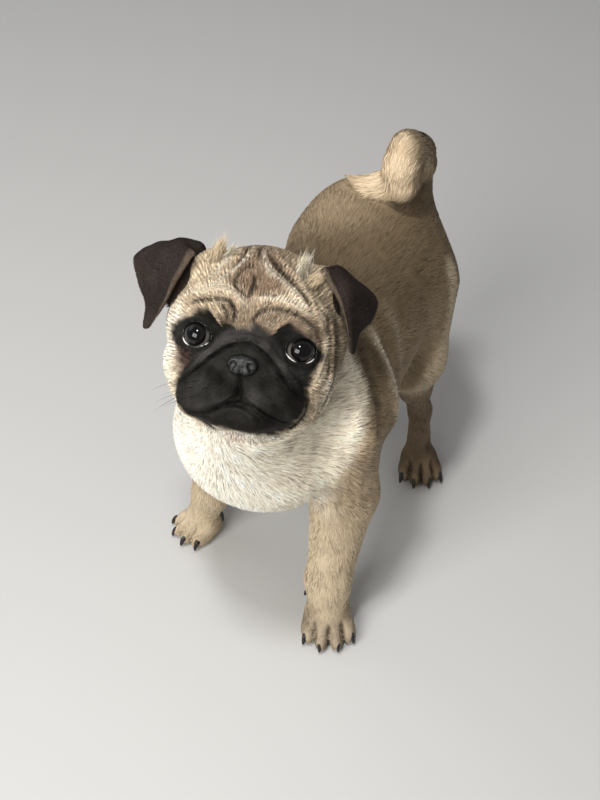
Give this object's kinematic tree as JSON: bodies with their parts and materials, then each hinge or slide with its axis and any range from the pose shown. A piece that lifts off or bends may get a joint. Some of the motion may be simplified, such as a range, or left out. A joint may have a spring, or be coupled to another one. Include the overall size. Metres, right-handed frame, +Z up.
{
  "type": "standing young pug figure",
  "caption": "Still life-size model of a young fawn pug, standing with its head raised and turned to its left, tail curled over the back.",
  "frame": {"origin": "on the floor, under the middle of the dog's box", "axes": "+Z up, -Y the way the body faces, +X towards the dog's left side"},
  "size_m": [0.2048, 0.3538, 0.361],
  "materials": {
    "fawn_fur": "short fawn fur, matte",
    "pale_fur": "short cream fur, matte",
    "ear_fur": "black-brown velvety fur",
    "nose_leather": "damp black nose leather",
    "eye_gloss": "wet dark eye",
    "claw_horn": "black horn, slight sheen"
  },
  "bodies": {
    "root": {"torso": "fawn_fur", "neck": "pale_fur", "tail": "fawn_fur", "head": "fawn_fur", "nose": "nose_leather", "eye_left": "eye_gloss", "ear_left": "ear_fur", "eye_right": "eye_gloss", "ear_right": "ear_fur", "leg_front_left": "fawn_fur", "claw_front_left_1": "claw_horn", "claw_front_left_2": "claw_horn", "claw_front_left_3": "claw_horn", "claw_front_left_4": "claw_horn", "dewclaw_front_left": "claw_horn", "paw_front_left": "fawn_fur", "leg_front_right": "fawn_fur", "claw_front_right_1": "claw_horn", "claw_front_right_2": "claw_horn", "claw_front_right_3": "claw_horn", "claw_front_right_4": "claw_horn", "dewclaw_front_right": "claw_horn", "paw_front_right": "fawn_fur", "leg_hind_left": "fawn_fur", "claw_hind_left_1": "claw_horn", "claw_hind_left_2": "claw_horn", "claw_hind_left_3": "claw_horn", "claw_hind_left_4": "claw_horn", "paw_hind_left": "fawn_fur", "leg_hind_right": "fawn_fur", "claw_hind_right_1": "claw_horn", "claw_hind_right_2": "claw_horn", "claw_hind_right_3": "claw_horn", "claw_hind_right_4": "claw_horn", "paw_hind_right": "fawn_fur"}
  },
  "joints": []
}
